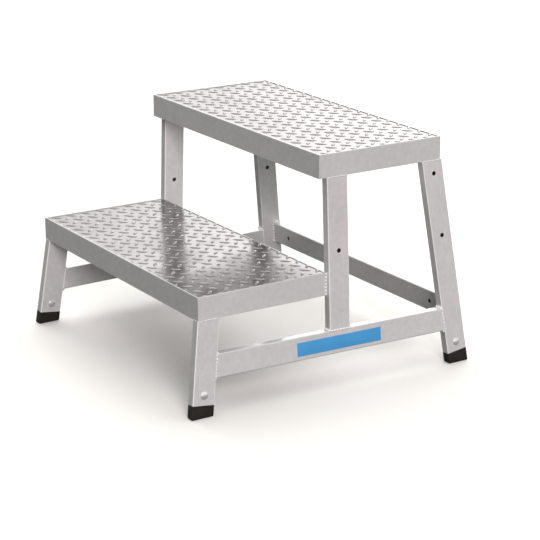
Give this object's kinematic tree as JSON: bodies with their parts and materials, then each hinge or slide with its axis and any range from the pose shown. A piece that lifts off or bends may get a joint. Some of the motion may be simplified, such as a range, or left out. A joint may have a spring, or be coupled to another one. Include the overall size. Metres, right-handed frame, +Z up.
{
  "type": "work trestle",
  "caption": "Free-standing two-step work platform: welded rectangular-tube frame with splayed legs on rubber feet, carrying a low and a high checker-plate tread.",
  "frame": {"origin": "on the ground, under the middle of the frame's footprint", "axes": "+X to the right-hand side along the treads, +Y to the rear away from the climbing side, +Z up"},
  "size_m": [0.7536, 0.6818, 0.5],
  "materials": {
    "tube_aluminium": "mill finish drawn tube, satin",
    "rim_aluminium": "mill finish angle section, satin",
    "checker_plate": "bright rolled plate with raised bars",
    "foot_rubber": "matt black moulded"
  },
  "bodies": {
    "root": {"upper_tread_plate": "checker_plate", "upper_front_rim": "rim_aluminium", "upper_rear_rim": "rim_aluminium", "upper_left_rim": "rim_aluminium", "upper_right_rim": "rim_aluminium", "upper_stiffener_left": "tube_aluminium", "upper_stiffener_right": "tube_aluminium", "lower_tread_plate": "checker_plate", "lower_front_rim": "rim_aluminium", "lower_rear_rim": "rim_aluminium", "lower_left_rim": "rim_aluminium", "lower_right_rim": "rim_aluminium", "lower_stiffener_left": "tube_aluminium", "lower_stiffener_right": "tube_aluminium", "front_leg_left": "tube_aluminium", "rear_leg_left": "tube_aluminium", "post_left": "tube_aluminium", "side_rail_left": "tube_aluminium", "front_foot_left": "foot_rubber", "rear_foot_left": "foot_rubber", "front_leg_right": "tube_aluminium", "rear_leg_right": "tube_aluminium", "post_right": "tube_aluminium", "side_rail_right": "tube_aluminium", "front_foot_right": "foot_rubber", "rear_foot_right": "foot_rubber", "rear_cross_rail": "tube_aluminium"}
  },
  "joints": []
}
